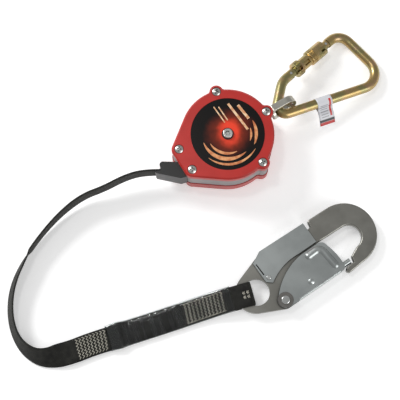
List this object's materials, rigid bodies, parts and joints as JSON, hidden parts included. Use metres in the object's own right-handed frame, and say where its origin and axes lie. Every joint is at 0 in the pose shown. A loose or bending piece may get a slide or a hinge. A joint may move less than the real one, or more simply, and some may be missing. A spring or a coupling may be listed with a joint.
{
  "type": "self retracting lifeline",
  "caption": "Compact webbing self retracting lifeline with a round red case, swivel shackle, twist-lock carabiner and a double-action snap hook on flat webbing.",
  "frame": {"origin": "drum axis at the flat rear face of the case, where the unit rests", "axes": "+Z along the drum axis towards the front cover, +X to the right and +Y up when the front cover is looked at"},
  "size_m": [0.4089, 0.374, 0.0532],
  "materials": {
    "red_housing": "moulded, fine satin grain",
    "grey_band": "moulded, plain",
    "decal_print": null,
    "grey_label": "plain printed polyester",
    "plated_steel": "zinc plated",
    "hard_steel": "hardened and oiled",
    "spring_steel": "blued strip and wire",
    "bronze_bush": "oil-filled bronze",
    "drum_alloy": "cast and turned",
    "zinc_screw": "bright zinc",
    "black_washer": "dark washer",
    "dark_washer": "dull plated washer",
    "black_webbing": "woven polyester",
    "black_plastic": "moulded nylon",
    "shackle_steel": "tumbled steel",
    "gold_steel": "yellow zinc, satin",
    "gold_sleeve": "yellow zinc, turned",
    "white_vinyl": "soft vinyl with plain coloured bands",
    "clear_sleeve": "clear heat-shrink film",
    "forged_grey": "forged and tumbled",
    "pressed_steel": "pressed sheet, satin",
    "rivet_steel": "bright rivet"
  },
  "bodies": {
    "housing": {"front_cover": "red_housing", "rear_cover": "red_housing", "centre_frame": "grey_band", "front_decal": "decal_print", "rear_label": "grey_label", "rear_side_plate": "plated_steel", "front_side_plate": "plated_steel", "frame_spacers": "plated_steel", "clinch_nuts": "plated_steel", "front_cover_screws": "zinc_screw", "rear_cover_screws": "zinc_screw", "main_shaft": "plated_steel", "hub_washer": "black_washer", "hub_screw": "zinc_screw", "spring_cup": "plated_steel", "power_spring": "spring_steel", "ratchet_ring": "hard_steel", "webbing_guide": "black_plastic", "webbing_lead": "black_webbing", "webbing_line": "black_webbing", "webbing_end_loop": "black_webbing", "stitch_cover": "clear_sleeve", "swivel_post": "plated_steel", "hook_body": "forged_grey", "hook_rivet": "rivet_steel", "hook_gate_washers": "dark_washer", "hook_lever_pin": "rivet_steel", "hook_gate_spring": "spring_steel", "hook_lever_spring": "spring_steel"},
    "drum": {"drum": "drum_alloy", "drum_front_flange": "plated_steel", "drum_bushes": "bronze_bush", "wound_webbing": "black_webbing", "webbing_anchor_pin": "plated_steel", "spring_arbor": "plated_steel", "pawl_pins": "plated_steel", "pawl_springs": "spring_steel"},
    "pawl_a": {"pawl_a": "hard_steel"},
    "pawl_b": {"pawl_b": "hard_steel"},
    "shackle": {"shackle_link": "shackle_steel", "swivel_stud": "plated_steel"},
    "carabiner": {"carabiner_body": "gold_steel", "gate_hinge_pin": "plated_steel", "carabiner_tag": "white_vinyl"},
    "carabiner_gate": {"carabiner_gate": "gold_steel", "gate_latch_pin": "plated_steel", "gate_spring": "spring_steel"},
    "carabiner_sleeve": {"carabiner_sleeve": "gold_sleeve", "sleeve_spring": "spring_steel"},
    "hook_gate": {"hook_gate": "pressed_steel"},
    "hook_lever": {"hook_lock_lever": "pressed_steel"}
  },
  "joints": [
    {"name": "drum_spin", "type": "hinge", "parent": "housing", "child": "drum", "pos_m": [0, 0, 0.02], "axis": [0, 0, -1], "continuous": true},
    {"name": "pawl_a_swing", "type": "hinge", "parent": "drum", "child": "pawl_a", "pos_m": [0.022, 0, 0.0427], "axis": [0, 0, 1], "range_deg": [0, 13], "stiffness_Nm_per_rad": 0.02, "springref_deg": -28.65},
    {"name": "pawl_b_swing", "type": "hinge", "parent": "drum", "child": "pawl_b", "pos_m": [-0.022, 0, 0.0427], "axis": [0, 0, 1], "range_deg": [0, 13], "stiffness_Nm_per_rad": 0.02, "springref_deg": -28.65},
    {"name": "shackle_swivel", "type": "hinge", "parent": "housing", "child": "shackle", "pos_m": [0.04714, 0.02833, 0.0282], "axis": [0.8572, 0.515, 0], "continuous": true},
    {"name": "carabiner_swing", "type": "hinge", "parent": "shackle", "child": "carabiner", "pos_m": [0.05692, 0.0342, 0.0282], "axis": [0.515, -0.8572, 0], "range_deg": [-3, 34]},
    {"name": "carabiner_gate_open", "type": "hinge", "parent": "carabiner", "child": "carabiner_gate", "pos_m": [0.07015, 0.07525, 0.0216], "axis": [-0.1472, -0.106, -0.9834], "range_deg": [0, 35], "stiffness_Nm_per_rad": 0.2, "springref_deg": -20.05},
    {"name": "sleeve_twist", "type": "hinge", "parent": "carabiner_gate", "child": "carabiner_sleeve", "pos_m": [0.07015, 0.07525, 0.0216], "axis": [0.7151, 0.6755, -0.1799], "range_deg": [0, 90], "stiffness_Nm_per_rad": 0.01, "springref_deg": -28.65},
    {"name": "hook_gate_open", "type": "hinge", "parent": "housing", "child": "hook_gate", "pos_m": [0.06165, -0.17358, 0.0076], "axis": [0, 0, 1], "range_deg": [0, 20], "stiffness_Nm_per_rad": 0.3, "springref_deg": -22.92},
    {"name": "hook_lever_squeeze", "type": "hinge", "parent": "housing", "child": "hook_lever", "pos_m": [0.04405, -0.14924, 0.0076], "axis": [0, 0, -1], "range_deg": [0, 5], "stiffness_Nm_per_rad": 1, "springref_deg": -8.59}
  ]
}
